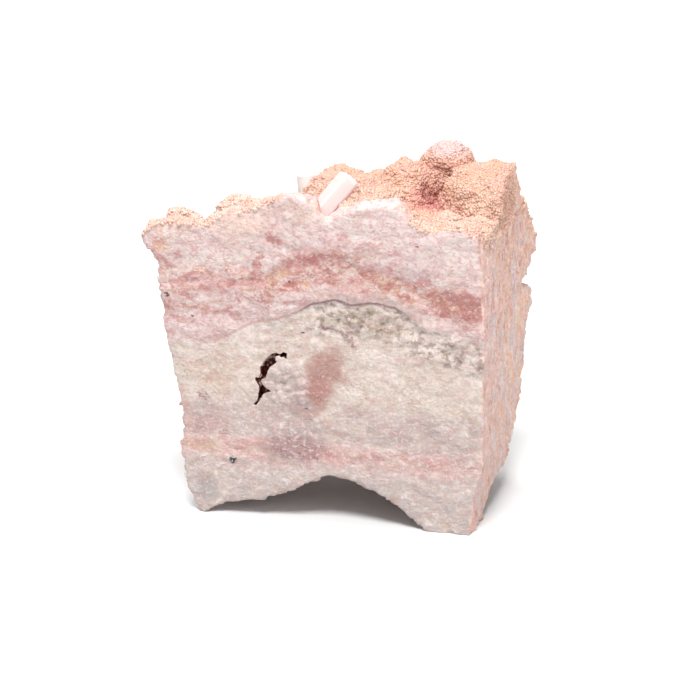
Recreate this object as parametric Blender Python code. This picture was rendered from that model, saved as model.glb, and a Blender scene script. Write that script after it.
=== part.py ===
"""A hand specimen of banded rhodochrosite, in metres, +Z up, with the middle of its underside at the origin.

The rock and its crust are shaped in millimetres from the left end of the front face's foot: x runs to the
right along the front face, y runs back from it and z runs up. The finished pieces are then moved to the origin.
"""

import bpy
import bmesh
from bisect import bisect_right
from math import exp, log, radians, sqrt
from mathutils import Matrix, Vector, noise

MM = 0.001

# Outlines of the front face: x of its left and right edges at each height, z of its rim and foot at each x.
LEFT_EDGE = ((0, -0.2), (1.2, -0.7), (3.6, -1.2), (7.2, -1.6), (11, -2.0), (13.7, -2.5), (16.3, -3.1),
             (19.5, -3.8), (22.7, -3.9), (26.1, -4.1), (28.1, -5.1), (29.4, -5.8), (31.2, -5.0), (34, -4.2))
RIGHT_EDGE = ((0, 28.4), (8, 29.3), (15, 29.5), (23.2, 29.35), (27.9, 28.95), (31.7, 28.75), (36, 28.6))
RIM = ((-5.5, 29.6), (-4.4, 31.0), (-0.9, 31.0), (1.6, 31.3), (3.2, 32.3), (6.8, 33.5), (9.9, 34.8),
       (12.1, 34.4), (13.2, 32.6), (14.2, 32.9), (15.5, 33.7), (17.8, 34.2), (21.0, 34.7), (21.6, 33.5),
       (22.6, 32.4), (24.2, 32.0), (27.0, 32.4), (28.0, 32.2), (28.8, 31.6), (32, 31.2))
FOOT_LINE = ((-1, -1.2), (0.3, -0.1), (2.2, 0.85), (6.1, 1.8), (9.3, 2.9), (11.8, 4.2), (12.9, 4.9),
             (14.3, 5.3), (16.4, 4.9), (18.2, 3.9), (19.6, 3.2), (21.8, 1.5), (23.4, 0.4), (24.6, -0.6),
             (32, -0.6))

# The front face leans back a little at its foot and its top.
FACE_LEAN = 0.35
FOOT_LEAN_END, TOP_LEAN_START, TOP_LEAN_END = 10, 27, 33

# The ledge that overhangs the cream lens: its line across the face, and how far it stands out.
LEDGE = ((-6, 17.6), (2.1, 18.9), (5.6, 21.0), (8.6, 21.8), (10.7, 22.7), (12.1, 23.6), (14.2, 24.2),
         (16.2, 23.7), (18.2, 24.1), (20.5, 23.8), (24, 21.8), (32, 20))
LEDGE_REACH = ((-6, 0.05), (5, 0.15), (11, 0.5), (20, 0.5), (26, 0.2), (32, 0.1))
LEDGE_HALF_HEIGHT = 0.35

# Depth of the block at each x, and the knobs that stand out (+) or fall back (-) along its right rear edge.
DEPTH = ((-6, 8.0), (0, 10.5), (9, 15.5), (17, 19.0), (24, 19.3), (31, 17.6))
BACK_LEAN = 0.05
MIDDLE_HEIGHT = 20
KNOBS = ((0, -2.0), (8, -0.5), (14.5, 0.0), (17, 0.1), (18.6, 0.8), (20.1, 0.9), (21.9, -0.9), (23.6, 0.6),
         (25.2, 1.4), (27.0, 1.1), (28.8, 0.2), (31, -0.6), (34, -0.8), (37, -1.4))
KNOB_DEPTH, KNOB_SIDE = 1.7, 0.3
KNOB_WIDTH = 7.0

# The left end turns inwards, and the right front edge is chamfered, more towards the top.
LEFT_TAPER = 0.35
CHAMFER = ((20, 0.3), (24, 0.8), (31, 2.5))
CHAMFER_SLOPE = 0.42
RIGHT_FACE_SLOPE = 0.07

# The underside rises behind the right foot and comes down again in one foot at the back.
HOLLOW_START, HOLLOW_END, HOLLOW_RISE = 3.5, 7.5, 3.6
BACK_FOOT = (20.0, 15.2)
BACK_FOOT_REACH = (5.4, 3.4)
BACK_FOOT_DROP = 9.0
DEEPEST = -0.8

# The rim of rock in front of the crust.
RIM_WIDTH = 1.3
RIM_STEP = 0.3

# The sheet that the crust grew on: its height behind the rim and its fall towards the back.
SHEET = ((-6, 29.8), (0, 30.0), (4, 31.1), (9, 33.0), (12.5, 32.0), (16, 32.4), (20, 32.2), (23, 30.7),
         (27, 30.7), (32, 30.4))
SHEET_FALL = ((-6, 0.45), (6, 0.40), (10, 0.25), (14, 0.05), (32, 0.0))
GAP = 0.32
CRUST_SKIN = 1.0
CRUST_SETBACK = 0.25
CRUST_LEFT_MARGIN = 1.0

# Lumps of the crust: centre x, y, z and radius x, y, z.
LUMPS = (
    (-2.3, 2.7, 29.9, 2.4, 1.5, 1.8), (4.3, 3.3, 30.7, 3.8, 2.0, 2.6), (1.0, 5.6, 27.6, 2.6, 2.4, 1.5),
    (7.6, 4.9, 30.6, 3.0, 2.8, 1.7), (6.2, 8.6, 28.4, 3.2, 2.8, 2.1), (10.6, 10.8, 29.6, 3.2, 3.0, 2.2),
    (13.7, 6.6, 32.6, 4.3, 4.4, 3.1), (10.2, 5.6, 31.2, 2.6, 2.8, 1.7), (17.2, 6.0, 32.2, 3.1, 3.6, 2.0),
    (15.2, 12.8, 29.9, 3.4, 3.4, 2.3), (19.2, 11.6, 32.8, 2.6, 3.0, 2.8), (22.9, 14.6, 34.1, 2.8, 2.7, 2.85),
    (20.6, 16.4, 31.6, 3.6, 3.0, 2.4), (27.9, 9.6, 32.8, 4.4, 4.6, 3.5), (30.6, 11.0, 33.2, 2.8, 3.4, 2.9),
    (25.6, 13.4, 32.4, 2.8, 3.0, 2.3), (25.2, 3.0, 31.6, 1.9, 1.3, 1.4), (28.4, 3.2, 31.0, 2.2, 1.7, 1.5),
    (19.8, 8.0, 32.2, 1.8, 1.8, 1.3),
)
LUMP_BLEND = 0.22

# The vug: (x, z, half width) along its middle, and (y, share of the width) as it narrows inwards.
VUG = ((5.6, 11.9, 0.2), (6.5, 13.4, 0.45), (6.9, 15.2, 0.4), (7.3, 16.6, 0.75), (8.5, 17.9, 0.45),
       (9.7, 18.2, 0.25))
VUG_TAPER = ((-1.0, 1.0), (0.4, 1.0), (2.6, 0.75), (4.0, 0.3))
VUG_SHEAR = 0.25

# Quartz prisms: foot, tip, half width, half depth and the turn about their length in degrees.
FRONT_CRYSTAL = (Vector((11.9, 1.3, 31.6)), Vector((15.0, 4.2, 35.5)), 1.12, 0.95, 15)
REAR_CRYSTAL = (Vector((9.8, 8.6, 30.2)), Vector((9.3, 9.2, 34.1)), 1.1, 0.85, 0)
TIP_INSET, TIP_RISE = 0.45, 0.25
SOCKET_CLEARANCE = 0.34

# Slices of the two meshes along x, y and z. The rock's first two along y are the rim and the step behind it.
ROCK_SLICES = (25, 13, 26)
CRUST_SLICES = (42, 22, 2)
SETTLING_ROUNDS = 5


def along(points, at):
    """Straight-line interpolation through (position, value) points, held at both ends."""
    place = bisect_right([point[0] for point in points], at)
    if place in (0, len(points)):
        return points[max(0, place - 1)][1]
    (x0, y0), (x1, y1) = points[place - 1], points[place]
    return y0 + (y1 - y0) * (at - x0) / (x1 - x0)


def ease(low, high, at):
    """0 below low, 1 above high and smooth between them."""
    t = min(1.0, max(0.0, (at - low) / (high - low)))
    return t * t * (3 - 2 * t)


def rough(point, size, seed=0.0):
    """Broken-rock roughness, about -1 to 1, with its largest features `size` millimetres across."""
    return noise.fractal(Vector(point) / size + Vector((seed, 2.3 * seed, 0)), 0.9, 2.1, 3)


# The sides of the block, each as a function of the other two directions.


def front(x, z):
    overhang = along(LEDGE_REACH, x) * ease(-LEDGE_HALF_HEIGHT, LEDGE_HALF_HEIGHT, z - along(LEDGE, x))
    lean = ease(0, FOOT_LEAN_END, z) - ease(TOP_LEAN_START, TOP_LEAN_END, z)
    return FACE_LEAN * lean - overhang


def back(x, z):
    knob = KNOB_DEPTH * along(KNOBS, z) * ease(31 - KNOB_WIDTH, 30, x)
    return along(DEPTH, x) + knob - BACK_LEAN * abs(z - MIDDLE_HEIGHT)


def left(y, z):
    return along(LEFT_EDGE, z) + LEFT_TAPER * y


def right(y, z):
    chamfer = along(CHAMFER, z)
    knob = KNOB_SIDE * along(KNOBS, z) * ease(9, 17, y)
    slope = CHAMFER_SLOPE * min(y, chamfer) + RIGHT_FACE_SLOPE * max(0.0, y - chamfer)
    return along(RIGHT_EDGE, z) + slope + knob


def underside(x, y):
    height = along(FOOT_LINE, x) + HOLLOW_RISE * ease(HOLLOW_START, HOLLOW_END, y) * ease(14, 20, x)
    from_foot = ((x - BACK_FOOT[0]) / BACK_FOOT_REACH[0]) ** 2 + ((y - BACK_FOOT[1]) / BACK_FOOT_REACH[1]) ** 2
    return max(height - BACK_FOOT_DROP * exp(-from_foot), DEEPEST)


def rim_width(x):
    return RIM_WIDTH + 0.45 * rough((x, 0, 9), 4)


def sheet(x, y):
    return along(SHEET, x) - along(SHEET_FALL, x) * y + 0.35 * rough((x, y, 3), 5)


def rock_top(x, y):
    behind_rim = ease(rim_width(x), rim_width(x) + RIM_STEP, y)
    return along(RIM, x) * (1 - behind_rim) + (sheet(x, y) - GAP / 2) * behind_rim


def lump_top(x, y, lump):
    cx, cy, cz, rx, ry, rz = lump
    inside = 1 - ((x - cx) / rx) ** 2 - ((y - cy) / ry) ** 2
    return cz + rz * sqrt(inside) if inside > 0 else 0.0


def crust_top(x, y):
    """The upper envelope of the lumps and of the thin skin between them, with the creases a little filled."""
    skin = sheet(x, y) + CRUST_SKIN
    fill = sum(exp((lump_top(x, y, lump) - skin) / LUMP_BLEND) for lump in LUMPS)
    return skin + LUMP_BLEND * log(1 + fill)


# The rock and the crust are sliced cubes whose points are placed between those sides.


def rock_y(v, x, z):
    """The first slice is the rim, the second the step down behind it, and the rest reach the back."""
    slice_size = 1 / ROCK_SLICES[1]
    rim, face = rim_width(x), front(x, z)
    if v <= slice_size:
        return face + (rim - face) * v / slice_size
    if v <= 2 * slice_size:
        return rim + RIM_STEP * (v / slice_size - 1)
    return rim + RIM_STEP + (back(x, z) - rim - RIM_STEP) * (v - 2 * slice_size) / (1 - 2 * slice_size)


def rock_z(w, x, y):
    bottom = underside(x, y)
    return bottom + (rock_top(x, y) - bottom) * w


def crust_y(v, x, z):
    start = rim_width(x) + RIM_STEP + GAP
    return start + (back(x, z) - CRUST_SETBACK - start) * v


def crust_z(w, x, y):
    bottom = sheet(x, y) + GAP / 2
    return bottom + (crust_top(x, y) - bottom) * w


def settle(u, v, w, y_of, z_of, left_margin=0.0):
    """The place of the cube's point (u, v, w): each direction's limits follow from the other two."""
    x, z = -4 + 34 * u, 30 * w
    for _ in range(SETTLING_ROUNDS):
        y = y_of(v, x, z)
        z = z_of(w, x, y)
        start = left(y, z) + left_margin
        x = start + (right(y, z) - start) * u
    return Vector((x, y, z))


def sliced_cube(*counts):
    """A unit cube from (0, 0, 0) to (1, 1, 1), sliced into so many even divisions along x, y and z."""
    bm = bmesh.new()
    bmesh.ops.create_cube(bm, size=1, matrix=Matrix.Translation((0.5, 0.5, 0.5)))
    for axis, count in enumerate(counts):
        normal = Vector([float(axis == i) for i in range(3)])
        for cut in range(1, count):
            bmesh.ops.bisect_plane(bm, geom=bm.verts[:] + bm.edges[:] + bm.faces[:],
                                   plane_co=normal * (cut / count), plane_no=normal, dist=1e-6)
    return bm


def roughen(bm, amount):
    """Moves every point along its normal by what amount(place, normal) gives."""
    bm.normal_update()
    moved = [vert.co + vert.normal * amount(vert.co, vert.normal) for vert in bm.verts]
    for vert, place in zip(bm.verts, moved):
        vert.co = place


def rock_roughness(co, normal):
    """Fine on the front face, ribbed on the right face, coarse elsewhere, and none under the crust."""
    if normal.z > 0.6 and co.y > RIM_WIDTH:
        return 0.0
    if normal.x > 0.7:
        return 0.16 * rough((co.x, co.y * 2.2, co.z * 0.35), 3) - 0.05
    if normal.y < -0.7:
        return 0.14 * rough(co, 3.5)
    return 0.55 * rough(co, 7, 1.5) + 0.2 * rough(co, 2.5)


def crust_roughness(co, normal):
    """Small knots over the top and the front, and none on the sides and the underside."""
    return 0.22 * rough(co, 1.6, 4.0) if normal.z > 0.2 or normal.y < -0.3 else 0.0


def level_feet(bm):
    """Cuts the feet off level at z = 0 and closes them."""
    bmesh.ops.bisect_plane(bm, geom=bm.verts[:] + bm.edges[:] + bm.faces[:], plane_co=(0, 0, 0),
                           plane_no=(0, 0, 1), clear_inner=True, dist=1e-4)
    bmesh.ops.holes_fill(bm, edges=[edge for edge in bm.edges if edge.is_boundary])
    bmesh.ops.triangulate(bm, faces=bm.faces[:])


def material(name, colour, roughness, transmission=0.0):
    made = bpy.data.materials.new(name)
    made.use_nodes = True
    shader = made.node_tree.nodes["Principled BSDF"]
    shader.inputs["Base Color"].default_value = (*colour, 1)
    shader.inputs["Roughness"].default_value = roughness
    shader.inputs["Metallic"].default_value = 0
    shader.inputs["Transmission Weight"].default_value = transmission
    return made


def mesh_object(name, bm, finish=None):
    """An object of the mesh, which is in millimetres."""
    bmesh.ops.scale(bm, vec=(MM, MM, MM), verts=bm.verts)
    mesh = bpy.data.meshes.new(name)
    bm.to_mesh(mesh)
    bm.free()
    if finish:
        mesh.materials.append(finish)
    obj = bpy.data.objects.new(name, mesh)
    bpy.context.scene.collection.objects.link(obj)
    return obj


def cut(obj, cutter):
    cutter.hide_render = True
    cutter.display_type = "WIRE"
    modifier = obj.modifiers.new("cut by " + cutter.name, "BOOLEAN")
    modifier.operation = "DIFFERENCE"
    modifier.object = cutter


def make_rock():
    bm = sliced_cube(*ROCK_SLICES)
    for vert in bm.verts:
        vert.co = settle(*vert.co, rock_y, rock_z)
    roughen(bm, rock_roughness)
    level_feet(bm)
    rock = mesh_object("matrix", bm, material("banded carbonate", (0.73, 0.55, 0.52), 0.75))
    cut(rock, vug_cutter())
    return rock


def make_crust():
    bm = sliced_cube(*CRUST_SLICES)
    for vert in bm.verts:
        vert.co = settle(*vert.co, crust_y, crust_z, CRUST_LEFT_MARGIN)
    roughen(bm, crust_roughness)
    return mesh_object("druse_crust", bm, material("drusy rhodochrosite", (0.86, 0.56, 0.42), 0.6))


def vug_cutter():
    """A crooked slot that narrows inwards, from just in front of the face."""
    bm = bmesh.new()
    loops = []
    for y, share in VUG_TAPER:
        right_side = [(x + half * share, y, z) for x, z, half in VUG]
        left_side = [(x - half * share, y, z + VUG_SHEAR * half) for x, z, half in reversed(VUG)]
        verts = [bm.verts.new(co) for co in right_side + left_side]
        loops.append([bm.edges.new(pair) for pair in zip(verts, verts[1:] + verts[:1])])
    for near, far in zip(loops, loops[1:]):
        bmesh.ops.bridge_loops(bm, edges=near + far)
    for end in (loops[0], loops[-1]):
        bmesh.ops.edgeloop_fill(bm, edges=end)
    bmesh.ops.recalc_face_normals(bm, faces=bm.faces[:])
    return mesh_object("vug", bm)


def prism(name, crystal, finish=None, grow=0.0):
    """A six-sided quartz prism with a low blunt tip, larger by `grow` all round."""
    foot, tip, half_width, half_depth, turn = crystal
    length = (tip - foot).length
    bm = bmesh.new()
    bmesh.ops.create_cone(bm, cap_ends=True, segments=6, radius1=1, radius2=1, depth=length + 2 * grow,
                          matrix=Matrix.Translation((0, 0, length / 2)))
    end = max(bm.faces, key=lambda face: face.calc_center_median().z)
    bmesh.ops.inset_individual(bm, faces=[end], thickness=TIP_INSET)
    bmesh.ops.translate(bm, verts=end.verts[:], vec=(0, 0, TIP_RISE))
    size = Matrix.Diagonal((half_width + grow, half_depth + grow, 1, 1))
    aim = (tip - foot).to_track_quat("Z", "Y").to_matrix().to_4x4()
    place = Matrix.Translation(foot) @ aim @ Matrix.Rotation(radians(turn), 4, "Z") @ size
    bmesh.ops.transform(bm, matrix=place, verts=bm.verts)
    bmesh.ops.recalc_face_normals(bm, faces=bm.faces[:])
    return mesh_object(name, bm, finish)


def make_crystals(hosts):
    milky = material("milky quartz", (0.97, 0.86, 0.83), 0.25, 0.3)
    clear = material("clear quartz", (0.96, 0.96, 0.94), 0.15, 0.8)
    for name, crystal, finish in (("quartz_crystal_front", FRONT_CRYSTAL, milky),
                                  ("quartz_crystal_rear", REAR_CRYSTAL, clear)):
        prism(name, crystal, finish)
        socket = prism("socket of " + name, crystal, grow=SOCKET_CLEARANCE)
        for host in hosts:
            cut(host, socket)


def clear_scene():
    for obj in list(bpy.data.objects):
        bpy.data.objects.remove(obj, do_unlink=True)


def stand_on_origin():
    """Moves everything so that the middle of the finished pieces' underside is the origin."""
    bpy.context.view_layer.update()
    graph = bpy.context.evaluated_depsgraph_get()
    corners = []
    for obj in bpy.data.objects:
        if not obj.hide_render:
            corners += [vert.co.copy() for vert in obj.evaluated_get(graph).to_mesh().vertices]
    low, high = (Vector([pick(corner[axis] for corner in corners) for axis in range(3)]) for pick in (min, max))
    shift = Matrix.Translation((-(low.x + high.x) / 2, -(low.y + high.y) / 2, -low.z))
    for obj in bpy.data.objects:
        obj.data.transform(shift)


def main():
    clear_scene()
    make_crystals((make_rock(), make_crust()))
    stand_on_origin()


main()
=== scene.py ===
"""The looks of a hand specimen of banded rhodochrosite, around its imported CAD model.

Places on the specimen are in millimetres from the left end of the front face's foot: x runs to the right
along the front face, y back from it and z up. Pieces are shaped there and then moved into the frame.
"""

from bisect import bisect_right
from math import cos, radians, sin

import bmesh
import bpy
from mathutils import Matrix, Vector, noise
from mathutils.bvhtree import BVHTree


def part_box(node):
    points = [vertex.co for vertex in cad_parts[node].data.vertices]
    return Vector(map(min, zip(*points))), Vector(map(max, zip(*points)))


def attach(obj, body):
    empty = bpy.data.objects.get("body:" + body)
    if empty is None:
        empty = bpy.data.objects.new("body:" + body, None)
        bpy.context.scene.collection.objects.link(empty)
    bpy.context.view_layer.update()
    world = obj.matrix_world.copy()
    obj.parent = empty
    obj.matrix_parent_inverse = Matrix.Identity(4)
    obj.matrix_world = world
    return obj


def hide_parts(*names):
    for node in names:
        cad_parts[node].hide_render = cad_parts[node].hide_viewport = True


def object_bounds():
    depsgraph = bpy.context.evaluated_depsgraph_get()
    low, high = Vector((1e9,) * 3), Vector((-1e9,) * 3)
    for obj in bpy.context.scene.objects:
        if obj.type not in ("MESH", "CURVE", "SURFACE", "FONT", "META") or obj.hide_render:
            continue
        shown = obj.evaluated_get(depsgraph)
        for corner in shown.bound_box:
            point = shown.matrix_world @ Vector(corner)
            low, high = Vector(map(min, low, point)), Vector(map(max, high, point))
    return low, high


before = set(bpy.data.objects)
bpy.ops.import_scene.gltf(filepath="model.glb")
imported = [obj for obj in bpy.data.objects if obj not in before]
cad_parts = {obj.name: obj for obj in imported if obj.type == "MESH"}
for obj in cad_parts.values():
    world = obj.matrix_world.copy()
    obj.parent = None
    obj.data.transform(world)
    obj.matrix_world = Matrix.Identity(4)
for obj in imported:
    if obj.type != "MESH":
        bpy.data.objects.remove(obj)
cad_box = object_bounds()

MM = 0.001

# The foot corner of the front face, from the low corner of the rock's box.
FOOT_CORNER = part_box("matrix")[0] + Vector((5.692, 0.576, 0)) * MM
TO_MM = Matrix.Scale(1 / MM, 4) @ Matrix.Translation(-FOOT_CORNER)
TO_FRAME = TO_MM.inverted()

# How far the roughness may stand out of the CAD model's box.
RELIEF_LIMIT = 0.15 * MM

# Mesh sizes of the rock and the crust, and how far each grows over the joint between them.
ROCK_VOXEL = 0.26
CRUST_VOXEL = 0.24
JOINT_REACH = 0.6
JOINT_OVERLAP = 0.06
RIM_REACH = 1.6

# The right face and the ledge over the cream lens, as they are in the CAD part.
RIGHT_EDGE = ((0, 28.4), (8, 29.3), (15, 29.5), (23.2, 29.35), (27.9, 28.95), (31.7, 28.75), (36, 28.6))
CHAMFER = ((20, 0.3), (24, 0.8), (31, 2.5))
CHAMFER_SLOPE, RIGHT_FACE_SLOPE = 0.42, 0.07
LEDGE = ((-6, 17.6), (2.1, 18.9), (5.6, 21.0), (8.6, 21.8), (10.7, 22.7), (12.1, 23.6), (14.2, 24.2),
         (16.2, 23.7), (18.2, 24.1), (20.5, 23.8), (24, 21.8), (32, 20))
COTTON_LINE = ((-6, 27), (-4, 26.8), (-2, 25.6), (1, 25.2), (4, 25.4), (7, 25.7), (8.5, 27.0), (10, 28.5),
               (14, 29.0), (17, 28.3), (20, 27.2), (22, 26.4), (25, 25.6), (32, 25.2))

STEP_LINE = ((-6, 24.1), (-3, 24.3), (0.4, 24.9), (4.6, 25.1), (10.8, 25.1))

# The vug: its outline on the front face, its depth, and the space that the CAD model's own vug takes.
VUG = ((7.81, 17.78), (8.33, 17.86), (8.65, 17.76), (9.02, 18.01), (9.39, 17.91), (9.33, 17.32), (9.02, 17.51),
       (8.75, 17.43), (8.54, 17.62), (8.19, 17.51), (8.14, 17.12), (8.31, 16.87), (7.97, 16.59), (7.59, 16.3),
       (7.42, 15.94), (7.12, 15.14), (6.75, 14.93), (6.6, 14.66), (6.87, 14.21), (7.2, 14.02), (7.7, 13.8),
       (7.15, 13.5), (6.86, 13.34), (6.64, 12.85), (6.41, 12.52), (6.09, 12.04), (5.8, 12.08), (6.14, 12.5),
       (6.31, 12.86), (6.38, 13.41), (6.45, 13.79), (6.4, 14.26), (6.24, 14.55), (6.05, 14.85), (6.1, 15.18),
       (6.42, 15.1), (6.62, 15.53), (6.55, 16.17), (6.88, 16.72), (7.3, 17.27))
VUG_DEPTH, VUG_ROUGHNESS = 1.8, 0.05
VUG_SEED = 4
VUG_SPACE = ((4.6, 0.5, 11.2), (10.6, 4.6, 19.2))

# The small round lumps to the right of the vug: x, z, half width, half height and tilt.
LUMPS = (9.3, 14.4, 2.3, 2.9, 0)
ROSE_PATCH = (12.8, 15.2, 2.0, 4.3, -25)


def along(points, at):
    """Straight-line interpolation through (position, value) points, held at both ends."""
    place = bisect_right([point[0] for point in points], at)
    if place in (0, len(points)):
        return points[max(0, place - 1)][1]
    (x0, y0), (x1, y1) = points[place - 1], points[place]
    return y0 + (y1 - y0) * (at - x0) / (x1 - x0)


def ease(low, high, at):
    """0 below low, 1 above high and smooth between them."""
    t = min(1.0, max(0.0, (at - low) / (high - low)))
    return t * t * (3 - 2 * t)


def rough(place, size, seed=0.0, octaves=3):
    """Broken-rock roughness, about -1 to 1. `size` is the size of its largest features along x, y and z."""
    scaled = Vector((place.x / size[0] + seed, place.y / size[1] + 2.3 * seed, place.z / size[2]))
    return noise.fractal(scaled, 0.9, 2.1, octaves)


def cleaved(place, size):
    """Small tilted faces, as where grains of a carbonate have split: about -0.5 to 0.5."""
    scaled = place / size
    centre = noise.voronoi(scaled)[1][0]
    return (scaled - centre).dot(noise.cell_vector(centre * 7.1))


# Meshes. Every shape is worked out in millimetres from the foot corner.


def node_mesh(node):
    """The CAD node's shape, merged, in millimetres from the foot corner."""
    bm = bmesh.new()
    bm.from_mesh(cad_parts[node].data)
    bmesh.ops.remove_doubles(bm, verts=bm.verts, dist=1e-7)
    bmesh.ops.transform(bm, matrix=TO_MM, verts=bm.verts)
    return bm


def new_object(name, bm, *finishes):
    mesh = bpy.data.meshes.new(name)
    bm.to_mesh(mesh)
    bm.free()
    for finish in finishes:
        mesh.materials.append(finish)
    obj = bpy.data.objects.new(name, mesh)
    bpy.context.scene.collection.objects.link(obj)
    return obj


def apply_modifiers(obj):
    """Gives the object the mesh that its modifiers make."""
    graph = bpy.context.evaluated_depsgraph_get()
    mesh = bpy.data.meshes.new_from_object(obj.evaluated_get(graph))
    obj.modifiers.clear()
    obj.data = mesh


def remeshed(bm, voxel):
    """The shape as an even mesh of small squares."""
    obj = new_object("blank", bm)
    modifier = obj.modifiers.new("even", "REMESH")
    modifier.mode = "VOXEL"
    modifier.voxel_size = voxel
    apply_modifiers(obj)
    even = bmesh.new()
    even.from_mesh(obj.data)
    bpy.data.objects.remove(obj)
    even.normal_update()
    return even


def finish_piece(obj, name, node):
    """Moves the piece into the frame, where it stands for the CAD node."""
    obj.name = name
    obj.data.transform(TO_FRAME)
    obj.data.update()
    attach(obj, "root")
    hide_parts(node)
    return obj


def grow_to_joint(tree, place):
    """The move that brings a point near the other piece to meet that piece."""
    found, _, _, away = tree.find_nearest(place, JOINT_REACH)
    return (found - place) * (0.5 + JOINT_OVERLAP / away) if found is not None and away > 1e-4 else Vector()


# The rock.


def right_face_depth(place):
    """How far the point is inside the right face."""
    chamfer = along(CHAMFER, place.z)
    slope = CHAMFER_SLOPE * min(place.y, chamfer) + RIGHT_FACE_SLOPE * max(0.0, place.y - chamfer)
    return along(RIGHT_EDGE, place.z) + slope - place.x


def billows(place, size, seed=0.0):
    """Rounded puffs with creases between them, 0 in the creases and about 1 on top."""
    scaled = Vector((place.x / size[0] + seed, place.y / size[1], place.z / size[2]))
    return 1 - noise.voronoi(scaled, distance_metric="DISTANCE_SQUARED")[0][0] * 1.6


def front_relief(place):
    """Sugary, with cottony puffs at the top, a ragged ridge under the ledge and small round lumps by the vug."""
    x, z = place.x, place.z
    out = 0.12 * rough(place, (3.2, 3.2, 1.6)) + 0.1 * rough(place, (1.2, 1.2, 0.8), 5) + 0.1 * cleaved(place, 0.7)
    cotton = ease(-0.4, 0.5, z - along(COTTON_LINE, x) + 0.8 * rough(place, (1.8, 1.8, 0.9), 31))
    out += cotton * (0.1 + 0.12 * billows(place, (1.9, 1.9, 1.3), 3))
    below_step = along(STEP_LINE, x) + 0.3 * rough(place, (1.5, 1.5, 1.5), 17) - z
    out += 0.3 * ease(-0.15, 0.1, below_step) * ease(4, 1, below_step) * ease(12, 9, x)
    below_ledge = along(LEDGE, x) - z
    ragged = ease(10.5, 13, x) * ease(0.1, 0.5, below_ledge) * ease(5, 3, below_ledge)
    out += ragged * (0.4 * rough(place, (1.3, 1.3, 0.9), 12) + 0.3 * cleaved(place, 1.1))
    lumps = ease(1.2, 0.6, Vector(((x - LUMPS[0]) / LUMPS[2], (z - LUMPS[1]) / LUMPS[3])).length)
    return out + lumps * 0.4 * billows(place, (0.8, 0.8, 0.7), 8)


def right_relief(place):
    """Upright ribs."""
    return (0.24 * rough(place, (1.1, 1.1, 3.0), 9) + 0.16 * rough(place, (0.5, 0.5, 1.2), 2)
            + 0.16 * cleaved(place, 0.9))


def top_relief(place):
    """Crumbly, on what faces up."""
    return 0.3 * rough(place, (1.6, 1.6, 1.6), 3) + 0.35 * billows(place, (1.0, 1.0, 1.0), 5) - 0.1


def broken_relief(place):
    """Hackly, with the flat faces of split grains."""
    return (0.2 * rough(place, (2.6, 2.6, 2.0), 3) + 0.3 * cleaved(place, 1.9) + 0.14 * cleaved(place, 0.8)
            + 0.08 * rough(place, (0.7, 0.7, 0.7), 6))


def rock_relief(place, normal):
    """How far the surface stands out at each place."""
    facing_front = ease(0.45, 0.75, -normal.y)
    facing_right = ease(0.5, 0.8, normal.x)
    facing_up = ease(0.3, 0.6, normal.z) * (1 - facing_front) * (1 - facing_right)
    out = 0.0
    for share, relief in ((facing_front, front_relief), (facing_right, right_relief), (facing_up, top_relief),
                          ((1 - facing_front) * (1 - facing_right) * (1 - facing_up), broken_relief)):
        if share > 0:
            out += share * relief(place)
    return out


def rim_druse(place, normal, crust_tree):
    """1 where small crystals grow on the rock's own rim: on top at its two ends, and next to the crust."""
    ends = max(ease(10, 8, place.x), ease(21, 23, place.x))
    on_top = ease(0.1, 0.45, normal.z + 0.3 * rough(place, (1.5, 1.5, 1.5), 19)) * ease(24, 26, place.z) * ends
    _, _, _, away = crust_tree.find_nearest(place, RIM_REACH)
    beside = ease(0.8, 0.7, away + 0.7 * rough(place, (1.5, 1.5, 1.5), 23)) * ends if away is not None else 0.0
    return max(on_top, beside * ease(0.2, 0.4, -normal.y))


def make_rock(finish, vug_finish, crystal_finish, crust_tree):
    bm = node_mesh("matrix")
    close_vug(bm)
    bm = remeshed(bm, ROCK_VOXEL)
    streaked = bm.verts.layers.float.new("streaked")
    druse = bm.verts.layers.float.new("druse")
    low_side, high_side = (TO_MM @ (corner + side * Vector((1, 1, 0)) * RELIEF_LIMIT)
                           for corner, side in zip(cad_box, (-1, 1)))
    moved = []
    for vert in bm.verts:
        out = rock_relief(vert.co, vert.normal)
        vert[druse] = rim_druse(vert.co, vert.normal, crust_tree)
        vert[streaked] = ease(0.3, 0.65, vert.normal.x + 0.15 * rough(vert.co, (2, 2, 6), 21))
        place = vert.co + vert.normal * out + grow_to_joint(crust_tree, vert.co)
        place.z = max(place.z, 0.0) if vert.co.z > 0.02 else 0.0
        place.x = min(max(place.x, low_side.x), high_side.x)
        place.y = min(max(place.y, low_side.y), high_side.y)
        moved.append(place)
    for vert, place in zip(bm.verts, moved):
        vert.co = place
    for face in bm.faces:
        face.smooth = True
    rock = new_object("rock", bm, finish, vug_finish)
    cutter = vug_cutter(vug_finish)
    cut = rock.modifiers.new("vug", "BOOLEAN")
    cut.operation = "DIFFERENCE"
    cut.object = cutter
    cut.solver = "EXACT"
    cut.material_mode = "TRANSFER"
    apply_modifiers(rock)
    bpy.data.objects.remove(cutter)
    crystals = make_crystals(rock, crystal_finish)
    finish_piece(rock, "rock", "matrix")
    finish_piece(crystals, "rim_crystals", "matrix")


def close_vug(bm):
    """Takes the CAD model's plain vug out of the front face and closes the face again."""
    low, high = VUG_SPACE
    walls = [face for face in bm.faces
             if all(a < c < b for a, b, c in zip(low, high, face.calc_center_median()))]
    bmesh.ops.delete(bm, geom=walls, context="FACES")
    bmesh.ops.triangle_fill(bm, edges=[edge for edge in bm.edges if edge.is_boundary], normal=(0, -1, 0))


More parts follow.
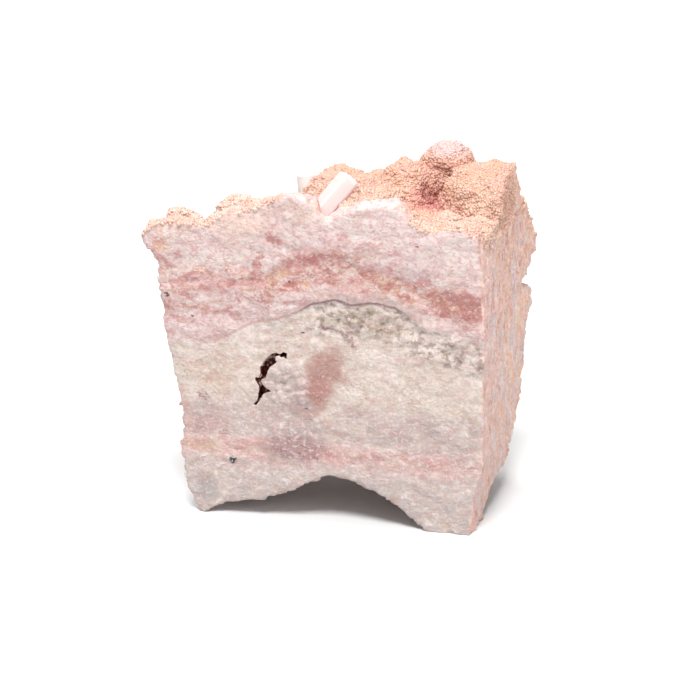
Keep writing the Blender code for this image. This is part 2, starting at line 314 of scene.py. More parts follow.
def vug_cutter(finish):
    """A crooked slot with the outline of the vug and crumbly edges."""
    noise.seed_set(VUG_SEED)
    outline = []
    for (x0, z0), (x1, z1) in zip(VUG, VUG[1:] + VUG[:1]):
        for share in (0, 0.33, 0.67):
            place = Vector((x0 + (x1 - x0) * share, 0, z0 + (z1 - z0) * share))
            outline.append(place + VUG_ROUGHNESS * noise.noise_vector(place * 3.3) * Vector((1, 0, 1)))
    bm = bmesh.new()
    loops = []
    for y in (-1.5, VUG_DEPTH):
        ring = [bm.verts.new(place + Vector((0, y, 0))) for place in outline]
        loops.append([bm.edges.new(pair) for pair in zip(ring, ring[1:] + ring[:1])])
    bmesh.ops.bridge_loops(bm, edges=loops[0] + loops[1])
    for end in loops:
        bmesh.ops.edgeloop_fill(bm, edges=end)
    bmesh.ops.triangulate(bm, faces=bm.faces[:])
    bmesh.ops.recalc_face_normals(bm, faces=bm.faces[:])
    return new_object("vug cutter", bm, finish)


# The crust: a nodular base, and the small crystals that cover it.

# How far back the crystals reach on its right side.
WALL_DRUSE = 11.0
BY_REAR_CRYSTAL = Vector((10.2, 6.7, 34.4))


def crust_relief(place):
    """Small knots on knobs of 1 to 2 mm, worn back beside the rear quartz crystal."""
    knobs = 0.3 * rough(place, (2.8, 2.8, 2.8), 14) + 0.2 * billows(place, (2.0, 2.0, 2.0), 6)
    knots = 0.2 * rough(place, (1.2, 1.2, 1.2), 4) + 0.1 * rough(place, (0.5, 0.5, 0.5), 8)
    return knobs + knots - 0.12 - 0.9 * ease(2.0, 0.5, (place - BY_REAR_CRYSTAL).length)


def make_crust(finish, crystal_finish, neighbours):
    bm = remeshed(node_mesh("druse_crust"), CRUST_VOXEL)
    druse = bm.verts.layers.float.new("druse")
    moved = []
    for vert in bm.verts:
        inside = right_face_depth(vert.co)
        grown = max(ease(-0.05, 0.3, vert.normal.z), ease(0.2, 0.5, -vert.normal.y) * ease(-0.5, -0.1, vert.normal.z))
        grown *= ease(0.1, 0.5, inside)
        over_edge = ease(WALL_DRUSE + 0.6, WALL_DRUSE - 0.6, vert.co.y + 0.8 * rough(vert.co, (1.5, 1.5, 1.5), 27))
        grown = max(grown, over_edge * ease(-0.5, -0.1, vert.normal.z))
        out = crust_relief(vert.co)
        vert[druse] = grown
        ribs = right_relief(vert.co)
        place = vert.co + vert.normal * (grown * out + (1 - grown) * ribs)
        moved.append(place + sum((grow_to_joint(tree, vert.co) for tree in neighbours), Vector()))
    for vert, place in zip(bm.verts, moved):
        vert.co = place
    for face in bm.faces:
        face.smooth = True
    crust = new_object("druse", bm, finish)
    crystals = make_crystals(crust, crystal_finish)
    finish_piece(crust, "druse", "druse_crust")
    finish_piece(crystals, "druse_crystals", "druse_crust")


def make_crystals(crust, finish):
    """Small rhombs all over the druse, each turned its own way."""
    bm = bmesh.new()
    bmesh.ops.create_cube(bm, size=1)
    tip = bm.verts.layers.float.new("tip")
    for vert in bm.verts:
        vert[tip] = 0.5 + vert.co.z
        vert.co += Vector((0.28 * vert.co.z, 0.18 * vert.co.z + 0.12 * vert.co.x, -CRYSTAL_SINK))
    for face in bm.faces:
        face.smooth = True
    rhomb = new_object("rhomb", bm, finish)
    crystals = bpy.data.objects.new("druse crystals", crust.data)
    bpy.context.scene.collection.objects.link(crystals)
    modifier = crystals.modifiers.new("rhombs", "NODES")
    modifier.node_group = rhomb_scatter(rhomb)
    apply_modifiers(crystals)
    bpy.data.objects.remove(rhomb)
    return crystals


CRYSTAL_SPACING = 0.21
CRYSTAL_SIZE = (0.15, 0.34)
CRYSTAL_STRETCH = 1.0
CRYSTAL_SINK = 0.2


def rhomb_scatter(rhomb):
    group = bpy.data.node_groups.new("rhomb scatter", "GeometryNodeTree")
    group.interface.new_socket("Geometry", in_out="INPUT", socket_type="NodeSocketGeometry")
    group.interface.new_socket("Geometry", in_out="OUTPUT", socket_type="NodeSocketGeometry")
    nodes = group.nodes

    def add(kind, settings=(), values=()):
        node = nodes.new(kind)
        for key, value in dict(settings).items():
            setattr(node, key, value)
        for key, value in dict(values).items():
            socket = node.inputs[key]
            if isinstance(value, bpy.types.NodeSocket):
                group.links.new(value, socket)
            else:
                socket.default_value = value
        return node

    start = add("NodeGroupInput")
    druse = add("GeometryNodeInputNamedAttribute", {"data_type": "FLOAT"}, {"Name": "druse"})
    wanted = add("FunctionNodeCompare", {"data_type": "FLOAT", "operation": "GREATER_THAN"},
                 {0: druse.outputs[0], 1: 0.45})
    points = add("GeometryNodeDistributePointsOnFaces", {"distribute_method": "POISSON"},
                 {"Mesh": start.outputs[0], "Selection": wanted.outputs[0], "Distance Min": CRYSTAL_SPACING,
                  "Density Max": 80.0, "Density Factor": 1.0, "Seed": 3})
    turn = add("FunctionNodeRandomValue", {"data_type": "FLOAT_VECTOR"},
               {"Min": (-0.6, -0.6, -3.1), "Max": (0.6, 0.6, 3.1), "Seed": 5})
    aim = add("FunctionNodeRotateRotation", {"rotation_space": "LOCAL"},
              {"Rotation": points.outputs["Rotation"], "Rotate By": turn.outputs[0]})
    size = add("FunctionNodeRandomValue", {"data_type": "FLOAT"},
               {2: CRYSTAL_SIZE[0], 3: CRYSTAL_SIZE[1], "Seed": 7})
    flat = add("ShaderNodeCombineXYZ", {}, {"X": size.outputs[1], "Y": size.outputs[1]})
    low = add("ShaderNodeMath", {"operation": "MULTIPLY"}, {0: size.outputs[1], 1: CRYSTAL_STRETCH})
    group.links.new(low.outputs[0], flat.inputs["Z"])
    shape = add("GeometryNodeObjectInfo", {}, {"Object": rhomb, "As Instance": True})
    copies = add("GeometryNodeInstanceOnPoints", {},
                 {"Points": points.outputs["Points"], "Instance": shape.outputs["Geometry"],
                  "Rotation": aim.outputs[0], "Scale": flat.outputs[0]})
    tint = add("FunctionNodeRandomValue", {"data_type": "FLOAT"}, {2: 0.0, 3: 1.0, "Seed": 11})
    tinted = add("GeometryNodeStoreNamedAttribute", {"data_type": "FLOAT", "domain": "INSTANCE"},
                 {"Geometry": copies.outputs[0], "Name": "tint", "Value": tint.outputs[1]})
    real = add("GeometryNodeRealizeInstances", {}, {"Geometry": tinted.outputs[0]})
    add("NodeGroupOutput", {}, {0: real.outputs[0]})
    return group


# The quartz crystals.

QUARTZ_BEVEL = 0.15
FRONT_CRYSTAL = Vector((11.9, 1.3, 31.6)), Vector((15.0, 4.2, 35.5))


def turned(bm, foot, tip, turn, widen):
    """Turns the prism about its length and widens it across the way it then faces."""
    up = (tip - foot).normalized()
    bmesh.ops.rotate(bm, cent=foot, matrix=Matrix.Rotation(turn, 3, up), verts=bm.verts)
    across = up.cross(Vector((0.2, -0.9, 0.3))).normalized()
    for vert in bm.verts:
        vert.co += across * across.dot(vert.co - foot) * widen


def make_quartz(node, name, finish, turn=0.0, widen=0.0):
    """The CAD prism with its edges a little rounded."""
    bm = node_mesh(node)
    if turn:
        turned(bm, *FRONT_CRYSTAL, turn, widen)
    bmesh.ops.dissolve_limit(bm, angle_limit=radians(2), verts=bm.verts[:], edges=bm.edges[:])
    bmesh.ops.bevel(bm, geom=bm.verts[:] + bm.edges[:], offset=QUARTZ_BEVEL, offset_type="OFFSET", segments=3,
                    profile=0.5, affect="EDGES", material=-1, clamp_overlap=True)
    obj = new_object(name, bm, finish)
    for polygon in obj.data.polygons:
        polygon.use_smooth = polygon.area < QUARTZ_BEVEL
    return finish_piece(obj, name, node)


# Finishes.

# How much brighter than full white the studio's light is on the front face.
STUDIO_LIGHT = 1.38


def paint(*screen):
    """The shader colour of something that looks like these screen values, 0 to 255, in the studio's light."""
    return tuple(((value / 255 + 0.055) / 1.055) ** 2.4 / STUDIO_LIGHT for value in screen) + (1,)


class Field:
    """One output in a finish's nodes, a number that varies over the surface. Arithmetic on it adds Math nodes."""

    def __init__(self, finish, output):
        self.finish = finish
        self.output = output

    def __getitem__(self, name):
        """Another output of the same node."""
        return Field(self.finish, self.output.node.outputs[name])

    def __add__(self, other):
        return self.finish.calc("ADD", self, other)

    def __sub__(self, other):
        return self.finish.calc("SUBTRACT", self, other)

    def __rsub__(self, other):
        return self.finish.calc("SUBTRACT", other, self)

    def __mul__(self, other):
        return self.finish.calc("MULTIPLY", self, other)

    def __truediv__(self, other):
        return self.finish.calc("DIVIDE", self, other)

    __radd__ = __add__
    __rmul__ = __mul__

    def step(self, low, high):
        """0 below low, 1 above high and smooth between them. With low above high it falls instead."""
        values = {"Value": self, "From Min": low, "From Max": high}
        return self.finish.node("ShaderNodeMapRange", {"interpolation_type": "SMOOTHSTEP"}, values)

    def ramp(self, *stops):
        """A colour for each value, from (value, colour) stops between 0 and 1."""
        return self.finish.node("ShaderNodeValToRGB", {"stops": stops}, {0: self})

    def curve(self, low, high, points):
        """Straight-line interpolation through (position, value) points, whose values lie from low to high."""
        first, last = points[0][0], points[-1][0]
        flat = [((x - first) / (last - first), (value - low) / (high - low)) for x, value in points]
        along_it = (self - first) / (last - first)
        return low + (high - low) * self.finish.node("ShaderNodeFloatCurve", {"points": flat}, {"Value": along_it})


class Finish:
    """A material and its shader, with the nodes that feed it."""

    def __init__(self, name, **constants):
        self.material = bpy.data.materials.new(name)
        self.material.use_nodes = True
        self.tree = self.material.node_tree
        self.shader = self.tree.nodes["Principled BSDF"]
        for socket, value in constants.items():
            self.shader.inputs[socket.replace("_", " ")].default_value = value

    def node(self, kind, settings=None, values=None, output=0):
        """Adds a node: first its settings, then the values or links of its inputs. Gives one of its outputs."""
        node = self.tree.nodes.new(kind)
        for key, value in (settings or {}).items():
            if key == "stops":
                for _ in value[2:]:
                    node.color_ramp.elements.new(0.5)
                for element, (position, colour) in zip(node.color_ramp.elements, value):
                    element.position = position
                    element.color = colour
            elif key == "points":
                line = node.mapping.curves[0]
                for _ in value[2:]:
                    line.points.new(0.5, 0.5)
                for point, place in zip(line.points, value):
                    point.location = place
                    point.handle_type = "VECTOR"
                node.mapping.update()
            else:
                setattr(node, key, value)
        for key, value in (values or {}).items():
            self.set(node.inputs[key], value)
        return Field(self, node.outputs[output])

    def set(self, socket, value):
        if isinstance(value, Field):
            self.tree.links.new(value.output, socket)
        else:
            socket.default_value = value

    def feed(self, **inputs):
        """Links or sets inputs of the shader."""
        for socket, value in inputs.items():
            self.set(self.shader.inputs[socket.replace("_", " ")], value)

    def calc(self, operation, *values):
        return self.node("ShaderNodeMath", {"operation": operation}, dict(enumerate(values)))

    def move(self, operation, *values, output="Vector"):
        return self.node("ShaderNodeVectorMath", {"operation": operation}, dict(enumerate(values)), output)

    def mix(self, under, over, share, mode="MIX"):
        """Two colours mixed: `over` replaces, multiplies or lightens `under` by that share."""
        settings = {"data_type": "RGBA", "blend_type": mode}
        return self.node("ShaderNodeMix", settings, {0: share, 6: under, 7: over}, 2)

    def noise(self, at, size, octaves=2.0, seed=0.0):
        """Soft noise around 0.5. `size` is the size of its features along x, y and z, in the units of `at`."""
        scaled = self.move("MULTIPLY_ADD", at, tuple(1 / s for s in size), (seed, 1.7 * seed, 0))
        return self.node("ShaderNodeTexNoise", {}, {"Vector": scaled, "Scale": 1.0, "Detail": octaves})

    def warped(self, at, size, reach, octaves=2.0):
        """The place pushed about by up to half of `reach`, in waves of this size."""
        waves = self.node("ShaderNodeTexNoise", {}, {"Vector": at, "Scale": 1 / size, "Detail": octaves}, "Color")
        return self.move("MULTIPLY_ADD", waves, (reach,) * 3, self.move("SUBTRACT", at, (reach / 2,) * 3))

    def cells(self, at, size, output="Distance"):
        scaled = self.move("MULTIPLY", at, tuple(1 / s for s in size))
        return self.node("ShaderNodeTexVoronoi", {}, {"Vector": scaled, "Scale": 1.0}, output)

    def attribute(self, name):
        return self.node("ShaderNodeAttribute", {"attribute_name": name}, {}, "Fac")

    def places(self):
        """The place on the specimen, in millimetres from the foot corner."""
        at = self.node("ShaderNodeTexCoord", {}, {}, "Object")
        return self.move("MULTIPLY_ADD", at, (1 / MM,) * 3, tuple(-c / MM for c in FOOT_CORNER))

    def spots(self, at, marks, edge=(1.3, 0.5)):
        """1 inside the marks and 0 outside. Each is x, z, half width, half height and tilt on the front face."""
        found = 0.0
        for x, z, wide, high, tilt in marks:
            along_it = Vector((cos(radians(tilt)), 0, sin(radians(tilt)))) / wide
            across_it = Vector((-sin(radians(tilt)), 0, cos(radians(tilt)))) / high
            u, v = (self.move("DOT_PRODUCT", at, tuple(way), output="Value") - way.dot((x, 0, z))
                    for way in (along_it, across_it))
            away = self.calc("MULTIPLY_ADD", u, u, v * v)
            found = self.calc("MAXIMUM", away.step(edge[0] ** 2, edge[1] ** 2), found)
        return found


# Colours of the rock, as they look in the studio's light.
WHITE = paint(252, 240, 238)
WARM_WHITE = paint(244, 228, 221)
COTTON = paint(240, 217, 214)
LILAC_WHITE = paint(234, 212, 210)
LILAC = paint(224, 200, 196)
# Lilac darkened for the low bands, a painted shade for the light falling off toward the foot.
LOW_SHADED_LILAC = paint(202, 184, 181)
MAUVE = paint(162, 127, 130)
DARK_SALMON = paint(178, 121, 112)
RUST = paint(186, 126, 108)
BLUSH = paint(224, 194, 176)
LILAC_GREY = paint(184, 168, 169)
PALE_PINK = paint(234, 208, 205)
PINK = paint(230, 190, 186)
SALMON = paint(222, 172, 160)
DUSTY_ROSE = paint(207, 152, 148)
ROSE = paint(200, 133, 127)
DEEP_ROSE = paint(176, 104, 98)
CREAM = paint(230, 216, 205)
ROSE_CREAM = paint(236, 212, 200)
WARM_CREAM = paint(224, 205, 192)
DULL_CREAM = paint(210, 197, 194)
TAUPE = paint(200, 184, 166)
TAN = paint(220, 180, 154)
ORANGE = paint(236, 192, 162)
CREASE = paint(204, 182, 168)
PLUM = paint(152, 112, 118)
BLUE_GREY = paint(180, 174, 174)
PIT_SHADE = paint(160, 110, 102)
HOLLOW_SHADE_BROWN = paint(132, 110, 94)
SULPHIDE = paint(44, 54, 52)

# Patches on the front face: colour, strength, then x, z, half width, half height and tilt in degrees.
PATCHES = (
    (DARK_SALMON, 0.8, *ROSE_PATCH),
    (DEEP_ROSE, 0.4, 12.2, 14.4, 0.9, 1.6, -25), (TAUPE, 0.9, 17.6, 22.2, 3.4, 1.3, -24),
    (TAUPE, 0.6, 14.9, 21.6, 1.8, 0.7, 10), (WARM_CREAM, 0.7, 1.6, 15.6, 2.6, 1.3, 5), (BLUSH, 0.7, 1.9, 14.5, 1.7, 0.6, 0),
    (WARM_CREAM, 0.7, 12.6, 22.2, 1.6, 0.6, 20), (TAN, 0.6, 0.3, 7.2, 1.9, 0.5, -5),
    (BLUE_GREY, 0.8, 0.8, 2.6, 1.3, 1.3, -50), (MAUVE, 0.8, 10.2, 7.8, 3.4, 1.4, 5), (ROSE, 0.35, 0.6, 9.4, 2.6, 1.3, 0),
    (DARK_SALMON, 0.8, 27.4, 24.4, 3.2, 1.5, -12), (DEEP_ROSE, 0.5, 27.6, 24.0, 1.8, 0.8, -25), (LILAC_GREY, 0.7, 10.6, 12.7, 1.4, 0.8, -20),
    (RUST, 0.5, 24.6, 24.9, 1.8, 0.5, -20), (TAN, 0.6, 20.4, 25.6, 2.6, 0.8, -30), (TAN, 0.7, 8.3, 26.0, 1.4, 0.7, 60),
    (SALMON, 0.8, -3.7, 28.5, 0.7, 0.8, 0), (LILAC_GREY, 0.5, 22.6, 27.2, 2.0, 1.2, 0), (PINK, 0.6, -1.6, 11.2, 0.9, 2.2, 15),
)

# Smaller marks with clearer edges: colour, strength, and for each x, z, half width, half height and tilt.
SPOTS = (
    (ROSE, 0.85, ((8.3, 30.2, 1.0, 0.55, -20), (6.8, 28.2, 0.45, 0.4, 0), (6.4, 26.5, 0.6, 1.3, 0))),
    (ROSE, 0.6, ((9.5, 27.7, 0.4, 0.8, -40), (-1.9, 27.7, 0.35, 0.6, 30),
                 (1.4, 26.0, 0.7, 0.3, 0), (-3.8, 26.2, 0.5, 0.5, 0), (-2.3, 24.8, 0.6, 0.4, 0),
                 (3.6, 26.2, 0.6, 0.3, 0), (12.5, 28.3, 1.9, 0.5, -5), (18.0, 30.2, 1.6, 0.4, 12), (15.3, 30.9, 0.6, 0.4, 0),
                 (23.6, 26.6, 0.9, 0.6, 0), (20.5, 29.6, 0.7, 0.3, 0))),
    (ORANGE, 0.7, ((-3.7, 30.0, 0.4, 0.6, 0), (-4.0, 28.3, 0.4, 0.3, 0), (-3.2, 28.3, 0.4, 0.5, 0), (6.4, 31.2, 0.5, 0.4, 0),
                   (9.1, 26.6, 0.7, 0.5, 0), (11.5, 25.6, 0.5, 0.3, 0))),
    (PLUM, 0.75, ((13.9, 20.9, 1.3, 0.25, -6), (15.7, 19.9, 1.1, 0.3, -45), (0.5, 12.6, 0.6, 0.35, -30),
                  (12.2, 6.9, 0.5, 0.2, 0), (10.6, 7.2, 0.35, 0.2, 0))),
)
SULPHIDE_SPECKS = ((3.65, 5.9, 0.42, 0.45, 0), (-3.0, 23.4, 0.3, 0.26, 0), (-0.4, 21.2, 0.12, 0.12, 0),
                   (-1.3, 15.2, 0.13, 0.1, 0), (9.1, 25.8, 0.14, 0.12, 0), (9.8, 25.8, 0.12, 0.12, 0),
                   (11.0, 20.2, 0.16, 0.1, 0), (11.4, 12.1, 0.24, 0.13, 0), (22.8, 30.5, 0.16, 0.1, 0))


def rock_finish():
    """Cottony lilac white at the top, rose and salmon under it, then the cream lens and bands below."""
    finish = Finish("banded carbonate", Roughness=0.6, Specular_IOR_Level=0.35, Subsurface_Weight=0.35,
                    Subsurface_Radius=(1.0, 0.8, 0.75), Subsurface_Scale=0.3 * MM)
    at = finish.places()
    axis = finish.node("ShaderNodeSeparateXYZ", {}, {0: at})
    x, y, z = axis["X"], axis["Y"], axis["Z"]
    front = y.step(4, 1.5)
    loose = finish.warped(at, 1.1, 2.4, 3)
    curled = finish.warped(at, 1.4, 1.2)
    near = finish.warped(at, 0.5, 0.6)
    broad = finish.noise(at, (7, 7, 5), 1) - 0.5
    warp = finish.noise(at, (2.2, 2.2, 1.3), 2, 3) - 0.5
    fibre = finish.noise(curled, (0.9, 0.9, 0.5), 3, 7) - 0.5
    fine = finish.noise(curled, (0.42, 0.42, 0.26), 3, 31)
    height = z + 1.2 * broad + 2.0 * warp + 1.4 * fibre

    # Bands between the ledge and the cottony mass, by their share of the way up.
    ledge = x.curve(16, 26, LEDGE)
    above = z + 0.3 * warp - ledge
    share = (height - ledge) / (x.curve(22, 32, COTTON_LINE) - ledge)
    upper = (share / 2).ramp((0.0, PALE_PINK), (0.12, PALE_PINK), (0.22, PINK), (0.28, SALMON), (0.33, PINK),
                             (0.4, SALMON), (0.47, DUSTY_ROSE), (0.53, PINK), (0.6, LILAC_WHITE), (0.75, COTTON))
    # Bands below the ledge, by height. Their lilac is darker than the rock's own: a painted shade for the light falling
    # off toward the foot.
    lower = (height / 20).ramp((0.0, DULL_CREAM), (0.27, DULL_CREAM), (0.33, PINK), (0.36, DUSTY_ROSE), (0.4, PINK),
                               (0.44, LOW_SHADED_LILAC), (0.58, LOW_SHADED_LILAC), (0.65, CREAM))
    colour = finish.mix(lower, upper, above.step(-0.12, 0.12))

    # Soft clouds of cream, lilac and pink, then the patches.
    clouds = finish.noise(curled, (3.6, 3.6, 2.4), 2, 13)
    hues = finish.noise(curled, (3.0, 3.0, 2.0), 2, 37)
    colour = finish.mix(colour, WARM_WHITE, (0.3 + 0.4 * z.step(12, 20)) * clouds.step(0.5, 0.6))
    cotton = share.step(0.95, 1.2)
    colour = finish.mix(colour, LILAC, (0.5 - 0.4 * cotton) * clouds.step(0.47, 0.36))
    colour = finish.mix(colour, PINK, 0.5 * hues.step(0.55, 0.65) * above.step(-0.2, 0.2))
    colour = finish.mix(colour, finish.mix(CREAM, ROSE_CREAM, above.step(-0.2, 0.2)), 0.6 * hues.step(0.46, 0.36))
    colour = finish.mix(colour, LILAC_WHITE, 0.7 * x.step(10, 7) * share.step(0.95, 0.7) * above.step(0, 0.5))
    for tint, strength, *mark in PATCHES:
        colour = finish.mix(colour, tint, strength * front * finish.spots(loose, [mark]))

    # Streaks of rose, thickest in the pink bands, tan flecks, and dark flecks that paint the shade of small hollows in
    # the grain.
    pinkness = share.step(0.15, 0.5) * share.step(1.25, 0.95) * above.step(0, 0.5) * (0.6 + 0.4 * x.step(2, 9))
    streaks = finish.noise(curled, (1.3, 1.3, 0.8), 3, 23)
    colour = finish.mix(colour, ROSE, (0.25 + 0.7 * pinkness) * streaks.step(0.51, 0.63))
    colour = finish.mix(colour, DEEP_ROSE, 0.5 * pinkness * streaks.step(0.6, 0.7))
    flecks = finish.noise(curled, (0.9, 0.9, 0.6), 3, 29)
    colour = finish.mix(colour, TAN, (0.25 + 0.5 * pinkness) * flecks.step(0.56, 0.66))
    colour = finish.mix(colour, PIT_SHADE, (0.1 + 0.4 * pinkness) * flecks.step(0.38, 0.3))
    # On the ragged zone under the ledge the brown flecks are painted shade in its hollows, on the zone's own brown
    # tone, and the white flecks a painted highlight on its grains.
    ragged = x.step(10.5, 13) * above.step(0, -0.4) * above.step(-5, -3)
    shade_and_highlight_flecks = finish.noise(near, (0.9, 0.9, 0.6), 3, 71)
    colour = finish.mix(colour, HOLLOW_SHADE_BROWN, 0.65 * ragged * front * shade_and_highlight_flecks.step(0.51, 0.62))
    colour = finish.mix(colour, WHITE, 0.4 * ragged * front * shade_and_highlight_flecks.step(0.46, 0.38))
    colour = lumpy(finish, near, colour, front * finish.spots(loose, [LUMPS]))

    # A network of thin rust and rose veins, thickest in the pink bands.
    veins = finish.calc("ABSOLUTE", finish.noise(near, (1.0, 1.0, 0.7), 3, 83) - 0.5)
    veined = finish.noise(at, (3, 3, 2), 2, 87).step(0.42, 0.58)
    tint = finish.mix(DUSTY_ROSE, RUST, pinkness)
    colour = finish.mix(colour, tint, (0.15 + 0.6 * pinkness) * veined * veins.step(0.045, 0.01))

    # White tufts, their tops whitened as a painted highlight, with a painted shade of pink or beige in the creases
    # between them.
    tufts = tufted(finish, at)
    creases = finish.mix(CREASE, DUSTY_ROSE, above.step(-0.2, 0.2))
    colour = finish.mix(colour, creases, 0.35 * tufts.step(0.05, 0.0))
    colour = finish.mix(colour, WHITE, (0.6 - 0.25 * pinkness) * tufts.step(0.1, 0.24))
    # A painted shadow line under the overhanging ledge, rose on the left and plum on the right.
    ledge_shadow_line = above.step(-0.45, -0.12) * above.step(0.1, -0.04) * x.step(0, 3) * x.step(23, 20)
    # Under it a white lip: white grains, lightened further as a painted highlight where the lip catches the light.
    ridge = above.step(-1.2, -0.8) * above.step(-0.2, -0.5) * x.step(0, 2) * x.step(20, 17)
    colour = finish.mix(colour, WHITE, (0.3 + 0.35 * x.step(9, 12)) * ridge * front * tufts.step(0.03, 0.12))
    colour = finish.mix(colour, finish.mix(ROSE, PLUM, x.step(9, 12)), (0.45 + 0.45 * x.step(9, 12)) * ledge_shadow_line * front)
    torn = finish.warped(at, 0.45, 1.5, 4)
    mottle = 0.65 + 0.35 * finish.noise(at, (0.5, 0.5, 0.4), 2, 91).step(0.35, 0.6)
    for tint, strength, marks in SPOTS:
        colour = finish.mix(colour, tint, strength * front * mottle * finish.spots(torn, marks, (1.2, 0.75)))
    colour = finish.mix(colour, PEACH_WHITE, 0.7 * (z + 4 * warp).step(29.6, 31.2) * x.step(10, 5))
    # Whiter along the top of the cottony mass on the right: white clumps, with a painted highlight on them.
    colour = finish.mix(colour, WHITE, 0.15 * front * share.step(1.35, 1.7) * x.step(11, 17))

    colour = finish.mix(colour, side_colour(finish, at), finish.attribute("streaked"))
    colour = finish.mix(colour, druse_colour(finish, at), 0.8 * finish.attribute("druse"))
    specks = finish.spots(finish.warped(at, 0.3, 0.5), SULPHIDE_SPECKS)
    colour = finish.mix(colour, SULPHIDE, front * specks * finish.noise(at, (0.25, 0.25, 0.25), 1, 51).step(0.38, 0.46))
    colour = finish.mix(colour, WHITE, (0.4 - 0.25 * front * finish.spots(loose, [ROSE_PATCH])) * fine.step(0.51, 0.68))
    colour = finish.mix(colour, creases, 0.45 * fine.step(0.47, 0.34))
    finish.feed(Base_Color=colour, Normal=grainy(finish, at))
    return finish


def lumpy(finish, at, colour, share):
    """Small whitish lumps with grey creases between them: grey crystals, darkened as painted shade in the creases."""
    away = finish.cells(at, (0.75, 0.75, 0.65))
    lump = finish.mix(finish.mix(LILAC_GREY, LILAC, away.step(0.62, 0.42)), WHITE, 0.7 * away.step(0.4, 0.15))
    return finish.mix(colour, lump, 0.65 * share)


def tufted(finish, at):
    """Puffs, from 0 in the creases between them to about 0.3."""
    return finish.calc("ABSOLUTE", finish.noise(finish.warped(at, 0.9, 0.9, 2), (1.3, 1.3, 0.9), 3, 61) - 0.5)


def grainy(finish, at):
    """Tufts with a sugary grain on them."""
    fine = finish.noise(at, (0.25, 0.25, 0.22), 2, 31)
    grains = finish.cells(finish.warped(at, 0.4, 0.4), (0.42, 0.42, 0.34))
    height = fine + 1.7 * tufted(finish, at) - 0.5 * grains
    height = height * (0.55 + 0.6 * finish.noise(at, (3, 3, 2), 2, 93).step(0.4, 0.6))
    return finish.node("ShaderNodeBump", {}, {"Strength": 1.0, "Distance": 0.1 * MM, "Height": height})


def side_colour(finish, at):
    """Upright streaks of pink and peach, lilac pink by the front face."""
    bent = finish.warped(at, 2.5, 1.2)
    axis = finish.node("ShaderNodeSeparateXYZ", {}, {0: at})
    broad = finish.noise(bent, (2.0, 2.0, 4), 2, 41)
    narrow = finish.noise(at, (0.4, 0.4, 2.4), 3, 43)
    specks = finish.noise(bent, (0.3, 0.3, 0.7), 2, 47)
    colour = (broad + 0.08 * axis["Z"].step(20, 32)).ramp((0.4, PALE_PINK), (0.5, SIDE_PINK), (0.6, SIDE_PEACH))
    colour = finish.mix(colour, LILAC_PINK, 0.5 * axis["Y"].step(5, 2.5))
    colour = finish.mix(colour, WARM_WHITE, 0.65 * narrow.step(0.51, 0.62))
    colour = finish.mix(colour, ROSE, 0.5 * narrow.step(0.46, 0.35))
    return finish.mix(colour, TAN, 0.5 * specks.step(0.55, 0.66))


SIDE_PINK = paint(244, 197, 184)
SIDE_PEACH = paint(248, 200, 174)
LILAC_PINK = paint(240, 204, 202)


def vug_finish():
    finish = Finish("vug wall", Roughness=1.0, Specular_IOR_Level=0.0)
    at = finish.places()
    dark = finish.noise(at, (0.5, 0.5, 0.5), 2)
    # Maroon walls, darkened as painted shade inside the hole.
    finish.feed(Base_Color=dark.ramp((0.35, paint(104, 56, 52)), (0.65, paint(150, 92, 86))))
    return finish


PEACH_WHITE = paint(252, 221, 207)
PEACH = paint(242, 200, 177)
DEEP_PEACH = paint(238, 187, 161)
ROSE_PEACH = paint(243, 188, 172)
BROWN = paint(236, 156, 122)


def crust_finish():
    """The druse between its crystals, and the streaked side of the crust."""
    finish = Finish("druse base", Roughness=0.7)
    at = finish.places()
    colour = finish.mix(side_colour(finish, at), druse_colour(finish, at), finish.attribute("druse"))
    finish.feed(Base_Color=colour, Normal=grainy(finish, at))
    return finish


def crystal_finish():
    finish = Finish("druse crystals", Roughness=0.5, Specular_IOR_Level=0.4)
    at = finish.places()
    colour = druse_colour(finish, at)
    tint = finish.attribute("tint")
    tip = finish.attribute("tip")
    # Orange-brown toward each crystal's foot: painted shade in the crevices between the crystals.
    colour = finish.mix(colour, BROWN, (0.05 + 0.15 * axis_share(finish, at)) * tip.step(0.6, 0.3))
    colour = finish.mix(colour, PEACH_WHITE, 0.4 * tint.step(0.3, 1))
    finish.feed(Base_Color=colour)
    return finish


def axis_share(finish, at):
    """0 on the left and at the front, where the druse is pale, and 1 in the rest."""
    axis = finish.node("ShaderNodeSeparateXYZ", {}, {0: at})
    return axis["X"].step(10, 18) * axis["Y"].step(3, 6)


def druse_colour(finish, at):
    """Peach, paler to the left and front, rose in the hollow and pink on the highest knob, with painted shade deep in
    the hollow and under the knob.
    """
    axis = finish.node("ShaderNodeSeparateXYZ", {}, {0: at})
    pale = finish.calc("MAXIMUM", axis["X"].step(12, 6), 0.6 * axis["Y"].step(6.5, 3))
    pinker = finish.noise(at, (2.4, 2.4, 2.4), 2, 2)
    colour = finish.mix(DEEP_PEACH, PEACH_WHITE, pale)
    colour = finish.mix(colour, PEACH, 0.7 * finish.noise(at, (1.5, 1.5, 1.5), 2, 5).step(0.45, 0.6))
    colour = finish.mix(colour, ROSE_PEACH, 0.6 * pinker.step(0.5, 0.62))
    for centre, reach, tint, share in DRUSE_PATCHES:
        away = finish.move("LENGTH", finish.move("MULTIPLY", finish.move("SUBTRACT", at, centre),
                                                 tuple(1 / r for r in reach)), output="Value")
        colour = finish.mix(colour, tint, share * away.step(1.3, 0.4))
    return colour


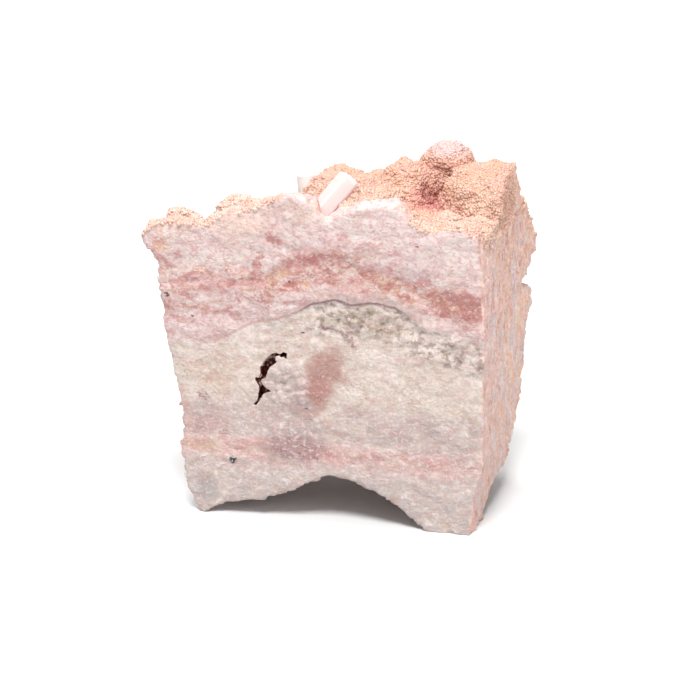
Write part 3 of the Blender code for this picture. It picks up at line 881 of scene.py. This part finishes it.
# Patches of the druse: centre, reach, colour and strength.
# The first patch is a painted shadow under the highest knob's overhang; the third deepens the hollow's rose as painted
# shade in its bottom.
DRUSE_PATCHES = (((23.0, 12.6, 34.9), (3.4, 1.3, 0.7), paint(216, 148, 134), 0.7),
                 ((22.2, 9.5, 32.2), (3.2, 3.6, 2.0), paint(234, 162, 150), 0.7),
                 ((21.6, 9.2, 31.5), (3.0, 2.8, 1.6), paint(198, 112, 108), 0.85),
                 ((22.9, 13.5, 37.2), (3.6, 3.6, 1.7), paint(252, 212, 210), 0.95))


def quartz_finish(name, colour, **constants):
    return Finish(name, Base_Color=colour, IOR=1.544, **constants)


# The studio.

CAMERA_PLACE = Vector((74.244, -317.455, 133.965)) * MM
CAMERA_TURN = (radians(70), 0, radians(13))
CAMERA_LENS = 172.8

# Area lights: name, place in metres, size and power.
LIGHTS = (("front", (0.08, -0.5, 1.05), 0.35, 15), ("back", (-0.35, 0.25, 1.1), 0.5, 6.5),
          ("side", (0.95, -0.4, 0.6), 0.8, 2.4))


def make_studio():
    scene = bpy.context.scene
    scene.view_settings.view_transform = "Standard"
    data = bpy.data.cameras.new("camera")
    data.lens = CAMERA_LENS
    data.clip_start, data.clip_end = 0.01, 10
    camera = bpy.data.objects.new("camera", data)
    camera.location = CAMERA_PLACE
    camera.rotation_euler = CAMERA_TURN
    scene.collection.objects.link(camera)
    scene.camera = camera

    bm = bmesh.new()
    bmesh.ops.create_grid(bm, x_segments=1, y_segments=1, size=2)
    finish = Finish("floor", Base_Color=(0.7, 0.7, 0.7, 1), Roughness=1.0)
    floor = new_object("floor", bm, finish.material)

    scene.world = bpy.data.worlds.new("studio")
    scene.world.use_nodes = True
    scene.world.node_tree.nodes["Background"].inputs["Color"].default_value = (1, 1, 1, 1)
    scene.world.node_tree.nodes["Background"].inputs["Strength"].default_value = 0.5
    for name, place, size, power in LIGHTS:
        light = bpy.data.lights.new(name, "AREA")
        light.size = size
        light.energy = power
        obj = bpy.data.objects.new(name, light)
        obj.location = place
        obj.rotation_euler = (Vector((0, 0, 0.015)) - Vector(place)).to_track_quat("-Z", "Y").to_euler()
        scene.collection.objects.link(obj)


def tree_of(node):
    return BVHTree.FromBMesh(node_mesh(node))


def main():
    crystals = crystal_finish().material
    make_rock(rock_finish().material, vug_finish().material, crystals, tree_of("druse_crust"))
    make_crust(crust_finish().material, crystals,
               [tree_of(node) for node in ("matrix", "quartz_crystal_front", "quartz_crystal_rear")])
    make_quartz("quartz_crystal_front", "quartz_front", quartz_finish(
        "milky quartz", (0.84, 0.6, 0.58, 1), Transmission_Weight=0.1, Roughness=0.4, Subsurface_Weight=1.0,
        Subsurface_Radius=(1, 0.8, 0.75), Subsurface_Scale=1.5 * MM).material, turn=radians(15), widen=0.22)
    make_quartz("quartz_crystal_rear", "quartz_rear", quartz_finish(
        "clear quartz", (1, 0.97, 0.95, 1), Transmission_Weight=0.45, Roughness=0.3).material)
    make_studio()


main()
